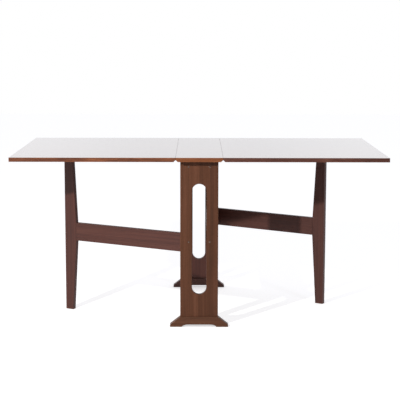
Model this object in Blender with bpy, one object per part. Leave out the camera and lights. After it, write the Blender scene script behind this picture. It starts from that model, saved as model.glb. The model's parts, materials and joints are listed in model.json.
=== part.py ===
"""Gateleg dining table with two drop leaves, stored open with both gates swung out.

Two slotted end panels on low bracket feet carry a narrow centre board. Two top rails and two
stretchers join the panels. A leaf hangs on butt hinges at each long edge of the centre board. A gate,
one rail and one tapered leg, swings out from a stretcher on each side and holds its leaf up.

Metres, +Z up, floor at Z = 0. X runs along the open table, Y across it, and the front is at -Y.
Left and front pieces are drawn; right and rear ones are the same drawing turned half a turn about Z.
"""
import math

import bmesh
import bpy
from mathutils import Matrix
from mathutils import Vector

for leftover in list(bpy.data.objects):
    bpy.data.objects.remove(leftover, do_unlink=True)

# Clearances.
SEAT = 0.0003            # between wood faces that are glued or screwed together, and under a flap
BORE = 0.0003            # radial, between a screw and its hole
PIN_PLAY = 0.0001        # radial, between a hinge pin and its knuckles
KNUCKLE_GAP = 0.0005     # between neighbouring hinge knuckles
NECK_INSET = 0.0006      # neck of a flap narrower than its knuckle, at each end
FLAP_GAP = 0.0004        # between the two flaps of a gate hinge when the gate is home
LEG_GAP = 0.0005         # between the top of a gate leg and the underside of its leaf
PAST = 0.0020            # how far a cutting shape runs past the face that it opens

# Table top.
TABLE_HEIGHT = 0.735
TABLE_DEPTH = 0.900
CENTRE_WIDTH = 0.200
LEAF_WIDTH = 0.700
TOP_THICKNESS = 0.018
JOINT_GAP = 0.0005       # open line between centre board and leaf
JOINT_BEVEL = 0.0085     # 45 degree bevel under both edges of that line, room for the hinge barrel
TOP_ARRIS = 0.0010

# End panels.
PANEL_WIDTH = 0.162
PANEL_THICKNESS = 0.022
PANEL_INSET = 0.039      # from the front edge of the top to the outer face of the panel
PANEL_ARRIS = 0.0015
SLOT_WIDTH = 0.062
SLOT_MARGIN = 0.0975     # wood left above and below the slot
SLOT_STEPS = 12          # facets in each round end of the slot
TENON_WIDTH = 0.100
TENON_DEPTH = 0.020
TENON_THICKNESS = 0.012

# Bracket feet.
FOOT_LENGTH = 0.250
FOOT_THICKNESS = 0.036
FOOT_HEIGHT = 0.044
FOOT_TOE = 0.0095        # height of the upright end of each toe
FOOT_ARRIS = 0.0015
ARCH_LENGTH = 0.147
ARCH_HEIGHT = 0.010
ARCH_ROUND = 0.026       # length of the rounded run-out at each end of the arch
ARCH_STEPS = 6

# Rails between the panels.
RAIL_THICKNESS = 0.020
RAIL_SPREAD = 0.090      # between the centrelines of the left and right rails
TOP_RAIL_HEIGHT = 0.058
STRETCHER_BOTTOM = 0.321
STRETCHER_HEIGHT = 0.081
RAIL_ARRIS = 0.0010

# Gates.
GATE_THICKNESS = 0.020
GATE_REACH = 0.560       # from the pin to the inner edge of the leg at the rail
GATE_PIN_SETBACK = 0.029  # from the inner face of the panel to the pin
GATE_HEEL = 0.0045       # from the pin to the near end of the rail
LEG_TOP_WIDTH = 0.042
LEG_RAIL_WIDTH = 0.060
LEG_FOOT_WIDTH = 0.039
GATE_TENON_LENGTH = 0.025
GATE_TENON_THICKNESS = 0.008
GATE_TENON_SHOULDER = 0.012  # rail left above and below the tenon
GATE_ARRIS = 0.0015
LEFT_GATE_OPEN = 60.5    # degrees from home, as photographed
RIGHT_GATE_OPEN = 56.5

# Gate hinges, one steel butt hinge each.
GATE_HINGE_LENGTH = 0.060
GATE_FLAP_WIDTH = 0.028
GATE_FLAP_THICKNESS = 0.0015
GATE_BARREL_RADIUS = 0.0035
GATE_PIN_RADIUS = 0.00125
GATE_SCREW_SPACING = 0.036
GATE_SCREW_OFFSET = 0.017  # from the pin to the screws

# Leaf hinges, two brass butt hinges to a leaf.
LEAF_HINGE_LENGTH = 0.070
LEAF_HINGE_INSET = 0.120  # from the end of the joint line to the middle of the hinge
LEAF_FLAP_WIDTH = 0.034
LEAF_FLAP_THICKNESS = 0.002
LEAF_BARREL_RADIUS = 0.0035
LEAF_PIN_RADIUS = 0.00125
LEAF_PIN_RISE = 0.0010   # pin above the underside of the boards

# Screws: head radius, head height, shank radius, length under the head's face.
PANEL_SCREW = (0.0040, 0.0026, 0.0022, 0.055)
HINGE_SCREW = (0.0030, 0.0012, 0.0014, 0.012)
TOP_SCREW = (0.0042, 0.0026, 0.0020, 0.033)
TOP_SCREW_PLACES = (-0.250, 0.250)
TOP_SCREW_BITE = 0.010   # how far the screw goes into the centre board
TOP_COUNTERBORE_RADIUS = 0.0060
TOP_RAIL_SCREW_DROP = 0.025  # panel screw below the underside of the top
STRETCHER_SCREW_RISE = 0.049  # panel screw above the bottom of the stretcher
SCREW_TIP = 0.004
SCREW_SIDES = 12
HINGE_SIDES = 18

# Places that follow from the sizes above.
HALF_DEPTH = TABLE_DEPTH / 2
UNDERSIDE = TABLE_HEIGHT - TOP_THICKNESS
JOINT_X = CENTRE_WIDTH / 2
PANEL_OUTER = HALF_DEPTH - PANEL_INSET
PANEL_INNER = PANEL_OUTER - PANEL_THICKNESS
PANEL_MIDDLE = PANEL_OUTER - PANEL_THICKNESS / 2
RAIL_X = RAIL_SPREAD / 2
RAIL_FACE = RAIL_X + RAIL_THICKNESS / 2
RAIL_END = PANEL_INNER - SEAT
TOP_RAIL_BOTTOM = UNDERSIDE - TOP_RAIL_HEIGHT
STRETCHER_TOP = STRETCHER_BOTTOM + STRETCHER_HEIGHT
GATE_OFFSET = GATE_FLAP_THICKNESS + SEAT + FLAP_GAP / 2   # pin to the face of stretcher or gate rail
GATE_PIN_X = RAIL_FACE + GATE_OFFSET
GATE_PIN_Y = PANEL_INNER - GATE_PIN_SETBACK
GATE_HINGE_LOW = STRETCHER_BOTTOM + (STRETCHER_HEIGHT - GATE_HINGE_LENGTH) / 2
GATE_HINGE_HIGH = GATE_HINGE_LOW + GATE_HINGE_LENGTH
LEAF_PIN_Z = UNDERSIDE + LEAF_PIN_RISE
LEAF_HINGE_Y = HALF_DEPTH - LEAF_HINGE_INSET
GATE_SCREW_HEIGHTS = (
    (GATE_HINGE_LOW + GATE_HINGE_HIGH - GATE_SCREW_SPACING) / 2,
    (GATE_HINGE_LOW + GATE_HINGE_HIGH + GATE_SCREW_SPACING) / 2,
)

HALF_TURN = math.pi
SIDES = (("left", "front", 0.0), ("right", "rear", HALF_TURN))


def finish(name, colour, roughness, metallic):
    """A plain finish: base colour, roughness and metal."""
    material = bpy.data.materials.new(name)
    material.use_nodes = True
    shader = material.node_tree.nodes["Principled BSDF"]
    shader.inputs["Base Color"].default_value = (*colour, 1.0)
    shader.inputs["Roughness"].default_value = roughness
    shader.inputs["Metallic"].default_value = metallic
    return material


def merged(*shapes):
    """One shape holding several separate ones."""
    whole = bmesh.new()
    for shape in shapes:
        scratch = bpy.data.meshes.new("scratch")
        shape.to_mesh(scratch)
        shape.free()
        whole.from_mesh(scratch)
        bpy.data.meshes.remove(scratch)
    return whole


def block(low, high):
    """A box from its low corner to its high corner."""
    shape = bmesh.new()
    bmesh.ops.create_cube(shape, size=1.0)
    low = Vector(low)
    high = Vector(high)
    size = high - low
    move = Matrix.Translation((low + high) / 2) @ Matrix.Diagonal((*size, 1.0))
    bmesh.ops.transform(shape, matrix=move, verts=shape.verts)
    return shape


def prism(outline, axis, start, end):
    """A flat outline pushed out along an axis: (y, z) along X, (x, z) along Y, (x, y) along Z."""
    shape = bmesh.new()

    def point(pair, along):
        first, second = pair
        if axis == "X":
            return (along, first, second)
        if axis == "Y":
            return (first, along, second)
        return (first, second, along)

    near = [shape.verts.new(point(pair, start)) for pair in outline]
    far = [shape.verts.new(point(pair, end)) for pair in outline]
    shape.faces.new(near)
    shape.faces.new(list(reversed(far)))
    count = len(outline)
    for i in range(count):
        j = (i + 1) % count
        shape.faces.new((near[i], far[i], far[j], near[j]))
    return shape


def turned(profile, origin, direction, sides):
    """A lathe shape: (distance, radius) pairs along a direction from an origin."""
    shape = bmesh.new()
    rings = []
    for distance, radius in profile:
        if radius == 0.0:
            rings.append([shape.verts.new((0.0, 0.0, distance))])
            continue
        ring = []
        for i in range(sides):
            angle = 2.0 * math.pi * i / sides
            ring.append(shape.verts.new((radius * math.cos(angle), radius * math.sin(angle), distance)))
        rings.append(ring)
    for lower, upper in zip(rings, rings[1:]):
        for i in range(sides):
            j = (i + 1) % sides
            if len(lower) == 1:
                shape.faces.new((lower[0], upper[i], upper[j]))
            elif len(upper) == 1:
                shape.faces.new((lower[i], lower[j], upper[0]))
            else:
                shape.faces.new((lower[i], lower[j], upper[j], upper[i]))
    if len(rings[0]) > 1:
        shape.faces.new(list(reversed(rings[0])))
    if len(rings[-1]) > 1:
        shape.faces.new(rings[-1])
    aim = Vector((0.0, 0.0, 1.0)).rotation_difference(Vector(direction)).to_matrix().to_4x4()
    bmesh.ops.transform(shape, matrix=Matrix.Translation(origin) @ aim, verts=shape.verts)
    return shape


def place(name, shape, parent, turn, smooth):
    """Put a shape in the scene as an object."""
    bmesh.ops.recalc_face_normals(shape, faces=shape.faces)
    mesh = bpy.data.meshes.new(name)
    shape.to_mesh(mesh)
    shape.free()
    if smooth:
        for face in mesh.polygons:
            face.use_smooth = True
        mesh.set_sharp_from_angle(angle=math.radians(40.0))
    item = bpy.data.objects.new(name, mesh)
    bpy.context.scene.collection.objects.link(item)
    item.parent = parent
    item.rotation_euler = (0.0, 0.0, turn)
    return item


def piece(name, shape, material, parent=None, turn=0.0, smooth=False):
    """One sub-part of the table."""
    item = place(name, shape, parent, turn, smooth)
    item.data.materials.append(material)
    return item


def work(item, operation, shape, label):
    """Cut a shape out of a sub-part, or weld it on, and hide the tool."""
    tool = place(item.name + "_" + label, shape, item.parent, item.rotation_euler.z, False)
    tool.location = item.location
    tool.display_type = "WIRE"
    tool.hide_render = True
    change = item.modifiers.new(label, "BOOLEAN")
    change.operation = operation
    change.solver = "EXACT"
    change.object = tool


def ease(item, width):
    """Take the sharpness off the arrises."""
    rounding = item.modifiers.new("eased_arris", "BEVEL")
    rounding.width = width
    rounding.segments = 2
    rounding.limit_method = "ANGLE"
    rounding.angle_limit = math.radians(50.0)


def axis_empty(name, location, turn):
    """An empty on a joint's axis that carries what turns with it."""
    empty = bpy.data.objects.new(name, None)
    empty.empty_display_size = 0.05
    bpy.context.scene.collection.objects.link(empty)
    empty.location = location
    empty.rotation_euler = (0.0, 0.0, turn)
    return empty


def half_turned(x, y, turn):
    """Where a point of the drawn side lands on the side it is turned to."""
    if turn == 0.0:
        return (x, y)
    return (-x, -y)


def countersunk_screw(sizes, origin, direction):
    """A countersunk wood screw, its head's face at the origin."""
    head, head_height, shank, length = sizes
    profile = (
        (0.0, 0.0),
        (0.0, head),
        (head_height, shank),
        (length - SCREW_TIP, shank),
        (length, 0.0),
    )
    return turned(profile, origin, direction, SCREW_SIDES)


def countersink(sizes, origin, direction, depth):
    """The hole for a countersunk screw, from its head's face down to a depth."""
    head, head_height, shank, _ = sizes
    flare = PAST * (head - shank) / head_height
    profile = (
        (-PAST, head + BORE + flare),
        (head_height, shank + BORE),
        (depth, shank + BORE),
    )
    return turned(profile, origin, direction, SCREW_SIDES)


def pilot(sizes, origin, direction, start, depth):
    """The blind hole that holds a screw's shank."""
    shank = sizes[2]
    profile = ((start, shank + BORE), (depth, shank + BORE))
    return turned(profile, origin, direction, SCREW_SIDES)


top_wood = finish("stained_top_veneer", (0.330, 0.150, 0.080), 0.30, 0.0)
frame_wood = finish("stained_frame_wood", (0.150, 0.065, 0.035), 0.40, 0.0)
gate_wood = finish("stained_gate_wood", (0.125, 0.056, 0.043), 0.42, 0.0)
brass = finish("dull_brass", (0.560, 0.420, 0.200), 0.38, 1.0)
steel = finish("plated_steel", (0.560, 0.560, 0.570), 0.35, 1.0)


# Centre board, bevelled under both long edges.
board_x = JOINT_X - JOINT_GAP / 2
board_outline = (
    (-board_x + JOINT_BEVEL, UNDERSIDE),
    (board_x - JOINT_BEVEL, UNDERSIDE),
    (board_x, UNDERSIDE + JOINT_BEVEL),
    (board_x, TABLE_HEIGHT),
    (-board_x, TABLE_HEIGHT),
    (-board_x, UNDERSIDE + JOINT_BEVEL),
)
centre_top = piece("centre_top", prism(board_outline, "Y", -HALF_DEPTH, HALF_DEPTH), top_wood)
ease(centre_top, TOP_ARRIS)
top_screw_spots = [(side * RAIL_X, y) for side in (-1.0, 1.0) for y in TOP_SCREW_PLACES]
top_pilots = [
    pilot(TOP_SCREW, (x, y, UNDERSIDE), (0.0, 0.0, 1.0), -PAST, TOP_SCREW_BITE + BORE)
    for x, y in top_screw_spots
]
work(centre_top, "DIFFERENCE", merged(*top_pilots), "screw_pilots")

# Leaves, each hung on its own pin line.
leaf_pivots = {}
for side, _, turn in SIDES:
    x, y = half_turned(-JOINT_X, 0.0, turn)
    pivot = axis_empty(side + "_leaf_pin_line", (x, y, LEAF_PIN_Z), turn)
    leaf_pivots[side] = pivot
    low = UNDERSIDE - LEAF_PIN_Z
    high = TABLE_HEIGHT - LEAF_PIN_Z
    near = -JOINT_GAP / 2
    leaf_outline = (
        (-LEAF_WIDTH, low),
        (near - JOINT_BEVEL, low),
        (near, low + JOINT_BEVEL),
        (near, high),
        (-LEAF_WIDTH, high),
    )
    leaf = piece(side + "_leaf", prism(leaf_outline, "Y", -HALF_DEPTH, HALF_DEPTH), top_wood, pivot)
    ease(leaf, TOP_ARRIS)

# End panels with their long slot, held in the feet by a wide tenon.
panel_half = PANEL_WIDTH / 2
tenon_half = TENON_WIDTH / 2
panel_bottom = FOOT_HEIGHT + SEAT
panel_top = UNDERSIDE - SEAT
tenon_bottom = FOOT_HEIGHT - TENON_DEPTH
tenon_outer = -PANEL_MIDDLE - TENON_THICKNESS / 2
tenon_inner = -PANEL_MIDDLE + TENON_THICKNESS / 2
slot_radius = SLOT_WIDTH / 2
slot_low = FOOT_HEIGHT + SLOT_MARGIN + slot_radius
slot_high = UNDERSIDE - SLOT_MARGIN - slot_radius
slot_outline = []
for i in range(SLOT_STEPS + 1):
    angle = math.pi * i / SLOT_STEPS
    slot_outline.append((slot_radius * math.cos(angle), slot_high + slot_radius * math.sin(angle)))
for i in range(SLOT_STEPS + 1):
    angle = math.pi + math.pi * i / SLOT_STEPS
    slot_outline.append((slot_radius * math.cos(angle), slot_low + slot_radius * math.sin(angle)))
panel_screw_heights = (UNDERSIDE - TOP_RAIL_SCREW_DROP, STRETCHER_BOTTOM + STRETCHER_SCREW_RISE)
panel_screw_names = ("top_rail", "stretcher")
inward = (0.0, 1.0, 0.0)
for side, end, turn in SIDES:
    shape = block((-panel_half, -PANEL_OUTER, panel_bottom), (panel_half, -PANEL_INNER, panel_top))
    panel = piece(end + "_panel", shape, frame_wood, turn=turn)
    slot = prism(slot_outline, "Y", -PANEL_OUTER - PAST, -PANEL_INNER + PAST)
    work(panel, "DIFFERENCE", slot, "slot")
    ease(panel, PANEL_ARRIS)
    tenon = block((-tenon_half, tenon_outer, tenon_bottom), (tenon_half, tenon_inner, panel_bottom + PAST))
    work(panel, "UNION", tenon, "tenon")
    holes = []
    for height, joined in zip(panel_screw_heights, panel_screw_names):
        for x in (-RAIL_X, RAIL_X):
            origin = (x, -PANEL_OUTER, height)
            holes.append(countersink(PANEL_SCREW, origin, inward, PANEL_THICKNESS + PAST))
            hand = "left" if half_turned(x, 0.0, turn)[0] < 0.0 else "right"
            name = "_".join((end, hand, joined, "screw"))
            piece(name, countersunk_screw(PANEL_SCREW, origin, inward), steel, turn=turn, smooth=True)
    work(panel, "DIFFERENCE", merged(*holes), "screw_holes")

# Bracket feet: sloping shoulders, low toes and a shallow arch between the two pads.
foot_half = FOOT_LENGTH / 2
arch_half = ARCH_LENGTH / 2
foot_outline = [(foot_half, 0.0), (foot_half, FOOT_TOE), (panel_half, FOOT_HEIGHT)]
foot_outline += [(-panel_half, FOOT_HEIGHT), (-foot_half, FOOT_TOE), (-foot_half, 0.0)]
for i in range(ARCH_STEPS + 1):
    angle = math.pi / 2 * i / ARCH_STEPS
    run = ARCH_ROUND * math.cos(angle)
    foot_outline.append((-arch_half + ARCH_ROUND - run, ARCH_HEIGHT * math.sin(angle)))
for i in range(ARCH_STEPS + 1):
    angle = math.pi / 2 * (ARCH_STEPS - i) / ARCH_STEPS
    run = ARCH_ROUND * math.cos(angle)
    foot_outline.append((arch_half - ARCH_ROUND + run, ARCH_HEIGHT * math.sin(angle)))
for side, end, turn in SIDES:
    outer = -PANEL_MIDDLE - FOOT_THICKNESS / 2
    inner = -PANEL_MIDDLE + FOOT_THICKNESS / 2
    foot = piece(end + "_foot", prism(foot_outline, "Y", outer, inner), frame_wood, turn=turn)
    ease(foot, FOOT_ARRIS)
    mortise = block(
        (-tenon_half - SEAT, tenon_outer - SEAT, tenon_bottom - SEAT),
        (tenon_half + SEAT, tenon_inner + SEAT, FOOT_HEIGHT + PAST),
    )
    work(foot, "DIFFERENCE", mortise, "mortise")

# Top rails under the centre board and stretchers at the height of the gate rails.
rail_screw_depth = PANEL_SCREW[3] + BORE
gate_axis = (-GATE_PIN_X, -GATE_PIN_Y, 0.0)
top_seat = UNDERSIDE + TOP_SCREW_BITE - TOP_SCREW[3]
upward = (0.0, 0.0, 1.0)
for side, _, turn in SIDES:
    low = (-RAIL_FACE, -RAIL_END, TOP_RAIL_BOTTOM)
    high = (-RAIL_FACE + RAIL_THICKNESS, RAIL_END, UNDERSIDE - SEAT)
    rail = piece(side + "_top_rail", block(low, high), frame_wood, turn=turn)
    ease(rail, RAIL_ARRIS)
    holes = []
    for facing in (-1.0, 1.0):
        origin = (-RAIL_X, facing * PANEL_OUTER, panel_screw_heights[0])
        into = (0.0, -facing, 0.0)
        holes.append(pilot(PANEL_SCREW, origin, into, PANEL_THICKNESS - PAST, rail_screw_depth))
    shank_hole = TOP_SCREW[2] + BORE
    for y in TOP_SCREW_PLACES:
        steps = (
            (TOP_RAIL_BOTTOM - PAST, TOP_COUNTERBORE_RADIUS),
            (top_seat, TOP_COUNTERBORE_RADIUS),
            (top_seat, shank_hole),
            (UNDERSIDE + PAST, shank_hole),
        )
        holes.append(turned(steps, (-RAIL_X, y, 0.0), upward, SCREW_SIDES))
        head, head_height, shank, length = TOP_SCREW
        seat = top_seat - SEAT
        screw = (
            (seat - head_height, 0.0),
            (seat - head_height, head - head_height / 3),
            (seat - head_height / 2, head),
            (seat, head),
            (seat, shank),
            (seat + length - SCREW_TIP, shank),
            (seat + length, 0.0),
        )
        hand = "front" if half_turned(0.0, y, turn)[1] < 0.0 else "rear"
        name = "_".join((side, hand, "top_screw"))
        piece(name, turned(screw, (-RAIL_X, y, 0.0), upward, SCREW_SIDES), steel, turn=turn, smooth=True)
    work(rail, "DIFFERENCE", merged(*holes), "screw_holes")

    low = (-RAIL_FACE, -RAIL_END, STRETCHER_BOTTOM)
    high = (-RAIL_FACE + RAIL_THICKNESS, RAIL_END, STRETCHER_TOP)
    stretcher = piece(side + "_stretcher", block(low, high), frame_wood, turn=turn)
    ease(stretcher, RAIL_ARRIS)
    holes = []
    for facing in (-1.0, 1.0):
        origin = (-RAIL_X, facing * PANEL_OUTER, panel_screw_heights[1])
        into = (0.0, -facing, 0.0)
        holes.append(pilot(PANEL_SCREW, origin, into, PANEL_THICKNESS - PAST, rail_screw_depth))
    for height in GATE_SCREW_HEIGHTS:
        origin = (-GATE_PIN_X + FLAP_GAP / 2, -GATE_PIN_Y + GATE_SCREW_OFFSET, height)
        start = GATE_FLAP_THICKNESS + SEAT - PAST
        holes.append(pilot(HINGE_SCREW, origin, (1.0, 0.0, 0.0), start, HINGE_SCREW[3] + BORE))
    groove = ((STRETCHER_BOTTOM - PAST, GATE_BARREL_RADIUS + KNUCKLE_GAP),
              (STRETCHER_TOP + PAST, GATE_BARREL_RADIUS + KNUCKLE_GAP))
    holes.append(turned(groove, gate_axis, upward, HINGE_SIDES))
    work(stretcher, "DIFFERENCE", merged(*holes), "holes_and_groove")


def hinge_half(name, outline_side, knuckles, sizes, span, parent, material, axis):
    """One half of a butt hinge: a flap notched for the other half's knuckles, its own knuckles, a bore.

    outline_side is +1 or -1, the way the flap runs from the pin across the barrel's axis.
    """
    barrel, pin, width, flap_low, flap_high = sizes
    start, end = span
    notch = (barrel + KNUCKLE_GAP) * outline_side
    outline = [(width * outline_side, start)]
    cursor = start
    for first, last in knuckles:
        neck_start = first + NECK_INSET
        neck_end = last - NECK_INSET
        outline += [(notch, cursor), (notch, neck_start), (0.0, neck_start), (0.0, neck_end)]
        cursor = neck_end
    outline += [(notch, cursor), (notch, end), (width * outline_side, end)]
    if axis == "Z":
        shape = prism(outline, "X", flap_low, flap_high)
        along = (0.0, 0.0, 1.0)
    else:
        shape = prism(outline, "Z", flap_low, flap_high)
        along = (0.0, 1.0, 0.0)
    item = piece(name, shape, material, parent)
    barrels = []
    for first, last in knuckles:
        barrels.append(turned(((first, barrel), (last, barrel)), (0.0, 0.0, 0.0), along, HINGE_SIDES))
    work(item, "UNION", merged(*barrels), "knuckles")
    hole = pin + PIN_PLAY
    bore = turned(((start - PAST, hole), (end + PAST, hole)), (0.0, 0.0, 0.0), along, HINGE_SIDES)
    work(item, "DIFFERENCE", bore, "bore")
    return item


def knuckle_spans(start, end):
    """Three knuckles along a barrel: two outer ones for the fixed half, the middle one for the other."""
    third = (end - start) / 4
    outer = ((start, start + third), (end - third, end))
    middle = ((start + third + KNUCKLE_GAP, end - third - KNUCKLE_GAP),)
    return outer, middle


def hinge_pin(name, radius, start, end, parent, material, along):
    """A hinge pin, ending flush with the barrel."""
    shape = turned(((start, radius), (end, radius)), (0.0, 0.0, 0.0), along, HINGE_SIDES)
    return piece(name, shape, material, parent, smooth=True)


# Gates, drawn from their pin: the rail runs along +Y when the gate is home, the leg stands at its end.
outer_knuckles, middle_knuckle = knuckle_spans(GATE_HINGE_LOW, GATE_HINGE_HIGH)
gate_open = {"left": LEFT_GATE_OPEN, "right": RIGHT_GATE_OPEN}
gate_near = -GATE_OFFSET
gate_far = gate_near - GATE_THICKNESS
gate_middle = (gate_near + gate_far) / 2
leg_outer = GATE_REACH + LEG_RAIL_WIDTH
leg_outline = (
    (leg_outer, 0.0),
    (leg_outer, UNDERSIDE - LEG_GAP),
    (leg_outer - LEG_TOP_WIDTH, UNDERSIDE - LEG_GAP),
    (GATE_REACH, STRETCHER_TOP),
    (GATE_REACH, STRETCHER_BOTTOM),
    (leg_outer - LEG_FOOT_WIDTH, 0.0),
)
tenon_low = STRETCHER_BOTTOM + GATE_TENON_SHOULDER
tenon_high = STRETCHER_TOP - GATE_TENON_SHOULDER
tenon_end = GATE_REACH + GATE_TENON_LENGTH
rail_end = GATE_REACH - SEAT
flap_inner = FLAP_GAP / 2
flap_outer = flap_inner + GATE_FLAP_THICKNESS
for side, _, turn in SIDES:
    x, y = half_turned(-GATE_PIN_X, -GATE_PIN_Y, turn)
    fixed = axis_empty(side + "_gate_pin_seat", (x, y, 0.0), turn)
    swung = axis_empty(side + "_gate_pin_line", (x, y, 0.0), turn + math.radians(gate_open[side]))

    leg = piece(side + "_gate_leg", prism(leg_outline, "X", gate_far, gate_near), gate_wood, swung)
    ease(leg, GATE_ARRIS)
    mortise = block(
        (gate_middle - GATE_TENON_THICKNESS / 2 - SEAT, GATE_REACH - PAST, tenon_low - SEAT),
        (gate_middle + GATE_TENON_THICKNESS / 2 + SEAT, tenon_end + SEAT, tenon_high + SEAT),
    )
    work(leg, "DIFFERENCE", mortise, "mortise")

    rail_shape = block((gate_far, GATE_HEEL, STRETCHER_BOTTOM), (gate_near, rail_end, STRETCHER_TOP))
    gate_rail = piece(side + "_gate_rail", rail_shape, gate_wood, swung)
    ease(gate_rail, RAIL_ARRIS)
    tenon = block(
        (gate_middle - GATE_TENON_THICKNESS / 2, rail_end - PAST, tenon_low),
        (gate_middle + GATE_TENON_THICKNESS / 2, tenon_end, tenon_high),
    )
    work(gate_rail, "UNION", tenon, "tenon")

    flap = (GATE_BARREL_RADIUS, GATE_PIN_RADIUS, GATE_FLAP_WIDTH)
    span = (GATE_HINGE_LOW, GATE_HINGE_HIGH)
    frame_half = hinge_half(side + "_gate_hinge_frame_flap", 1.0, outer_knuckles,
                            (*flap, flap_inner, flap_outer), span, fixed, steel, "Z")
    gate_half = hinge_half(side + "_gate_hinge_gate_flap", 1.0, middle_knuckle,
                           (*flap, -flap_outer, -flap_inner), span, swung, steel, "Z")
    hinge_pin(side + "_gate_hinge_pin", GATE_PIN_RADIUS, GATE_HINGE_LOW, GATE_HINGE_HIGH, fixed, steel, upward)

    frame_holes = []
    gate_holes = []
    rail_pilots = []
    for height, level in zip(GATE_SCREW_HEIGHTS, ("lower", "upper")):
        depth = GATE_FLAP_THICKNESS + PAST
        origin = (flap_inner, GATE_SCREW_OFFSET, height)
        into = (1.0, 0.0, 0.0)
        frame_holes.append(countersink(HINGE_SCREW, origin, into, depth))
        name = "_".join((side, "gate_hinge_frame_screw", level))
        piece(name, countersunk_screw(HINGE_SCREW, origin, into), steel, fixed, smooth=True)
        origin = (-flap_inner, GATE_SCREW_OFFSET, height)
        into = (-1.0, 0.0, 0.0)
        gate_holes.append(countersink(HINGE_SCREW, origin, into, depth))
        start = GATE_FLAP_THICKNESS + SEAT - PAST
        rail_pilots.append(pilot(HINGE_SCREW, origin, into, start, HINGE_SCREW[3] + BORE))
        name = "_".join((side, "gate_hinge_gate_screw", level))
        piece(name, countersunk_screw(HINGE_SCREW, origin, into), steel, swung, smooth=True)
    work(frame_half, "DIFFERENCE", merged(*frame_holes), "screw_holes")
    work(gate_half, "DIFFERENCE", merged(*gate_holes), "screw_holes")
    work(gate_rail, "DIFFERENCE", merged(*rail_pilots), "screw_pilots")

# Leaf hinges, flaps screwed under the boards and the barrel lying in the bevelled joint line.
hinge_start = -LEAF_HINGE_LENGTH / 2
hinge_end = LEAF_HINGE_LENGTH / 2
outer_knuckles, middle_knuckle = knuckle_spans(hinge_start, hinge_end)
flap_high = -LEAF_PIN_RISE - SEAT
flap_low = flap_high - LEAF_FLAP_THICKNESS
flap = (LEAF_BARREL_RADIUS, LEAF_PIN_RADIUS, LEAF_FLAP_WIDTH, flap_low, flap_high)
span = (hinge_start, hinge_end)
for side, _, turn in SIDES:
    for y in (-LEAF_HINGE_Y, LEAF_HINGE_Y):
        world_x, world_y = half_turned(-JOINT_X, y, turn)
        hand = "front" if world_y < 0.0 else "rear"
        stem = "_".join((side, hand, "leaf_hinge"))
        seat = axis_empty(stem + "_seat", (world_x, world_y, LEAF_PIN_Z), turn)
        hung = axis_empty(stem + "_line", (0.0, y, 0.0), 0.0)
        hung.parent = leaf_pivots[side]
        hinge_half(stem + "_board_flap", 1.0, outer_knuckles, flap, span, seat, brass, "Y")
        hinge_half(stem + "_leaf_flap", -1.0, middle_knuckle, flap, span, hung, brass, "Y")
        hinge_pin(stem + "_pin", LEAF_PIN_RADIUS, hinge_start, hinge_end, seat, brass, inward)
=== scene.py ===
# %% [markdown]
# # A gateleg dining table in stained mahogany
#
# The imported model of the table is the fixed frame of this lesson: boards, hinges, gates and
# screws are already in place, in metres, with the open table standing on z = 0. The lesson gives
# them their looks: wood with its grain running the right way in every board, hinge brass, plated
# screws with slots, and the light of a photo studio.

import json
import math

import bmesh
import bpy
import numpy as np
from mathutils import Matrix, Vector

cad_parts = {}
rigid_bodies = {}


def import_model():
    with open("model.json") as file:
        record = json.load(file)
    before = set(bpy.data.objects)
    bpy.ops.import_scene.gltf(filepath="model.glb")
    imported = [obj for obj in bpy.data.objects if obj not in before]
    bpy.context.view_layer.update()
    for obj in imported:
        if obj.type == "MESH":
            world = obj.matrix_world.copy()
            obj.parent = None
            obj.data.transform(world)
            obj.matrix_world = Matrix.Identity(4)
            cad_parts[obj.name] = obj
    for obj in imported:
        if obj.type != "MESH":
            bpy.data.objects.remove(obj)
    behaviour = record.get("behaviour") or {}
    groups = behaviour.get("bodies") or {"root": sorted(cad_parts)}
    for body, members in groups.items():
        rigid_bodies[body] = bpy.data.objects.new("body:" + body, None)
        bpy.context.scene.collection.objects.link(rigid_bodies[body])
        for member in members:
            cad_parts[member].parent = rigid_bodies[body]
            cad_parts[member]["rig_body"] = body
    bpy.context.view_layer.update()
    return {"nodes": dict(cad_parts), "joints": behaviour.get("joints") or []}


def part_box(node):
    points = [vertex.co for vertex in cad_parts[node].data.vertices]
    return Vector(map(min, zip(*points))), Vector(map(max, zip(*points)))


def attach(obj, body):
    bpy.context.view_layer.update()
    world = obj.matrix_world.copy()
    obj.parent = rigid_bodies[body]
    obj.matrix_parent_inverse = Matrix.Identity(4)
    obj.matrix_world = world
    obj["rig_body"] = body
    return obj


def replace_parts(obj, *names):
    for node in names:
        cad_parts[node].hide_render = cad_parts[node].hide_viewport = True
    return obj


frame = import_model()
nodes = frame["nodes"]
bpy.ops.object.select_all(action="DESELECT")

# %% [markdown]
# ## Camera
#
# The table was photographed square on, from about five and a half metres, with the lens 1.3
# metres above the floor and tipped down by eight degrees. A long lens keeps the two ends of the
# top nearly the same size. The place and the angles were found by fitting the drawn edges to the
# photographed ones.

# %% Camera
CAMERA_PLACE = (-0.0106, -5.5521, 1.2955)
CAMERA_DOWN, CAMERA_RIGHT, CAMERA_ROLL = 8.239, 0.152, 0.116    # degrees
LENS_PIXELS = 1224.09            # focal length in pixels of the picture
PICTURE = 400                    # pixels across the picture
SENSOR = 36.0                    # millimetres across the sensor

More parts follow.
